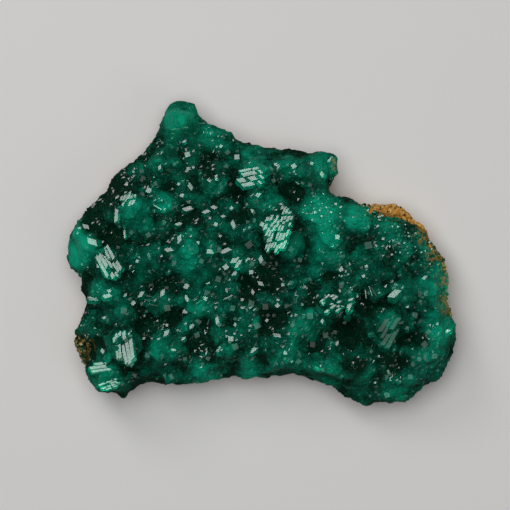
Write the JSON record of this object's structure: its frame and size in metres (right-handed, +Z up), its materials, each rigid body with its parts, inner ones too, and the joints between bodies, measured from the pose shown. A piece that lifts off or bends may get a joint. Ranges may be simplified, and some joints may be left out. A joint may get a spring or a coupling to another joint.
{
  "type": "dioptase specimen",
  "caption": "Rough mineral specimen: a sparkling crust of fused emerald-green dioptase crystals on a thin, iron-stained rock back, lying flat.",
  "frame": {"origin": "centre of the bounding box seen from above, at the level of the rock's flat underside", "axes": "+Z up, out of the crystals; +X along the plate's longest side, to the right as it is shown; +Y towards the tall horn"},
  "size_m": [0.0702, 0.055, 0.0167],
  "materials": {
    "rock": "rough, granular, iron-stained",
    "dioptase": "vitreous"
  },
  "bodies": {
    "root": {"matrix": "rock", "dioptase_crust": "dioptase"}
  },
  "joints": []
}
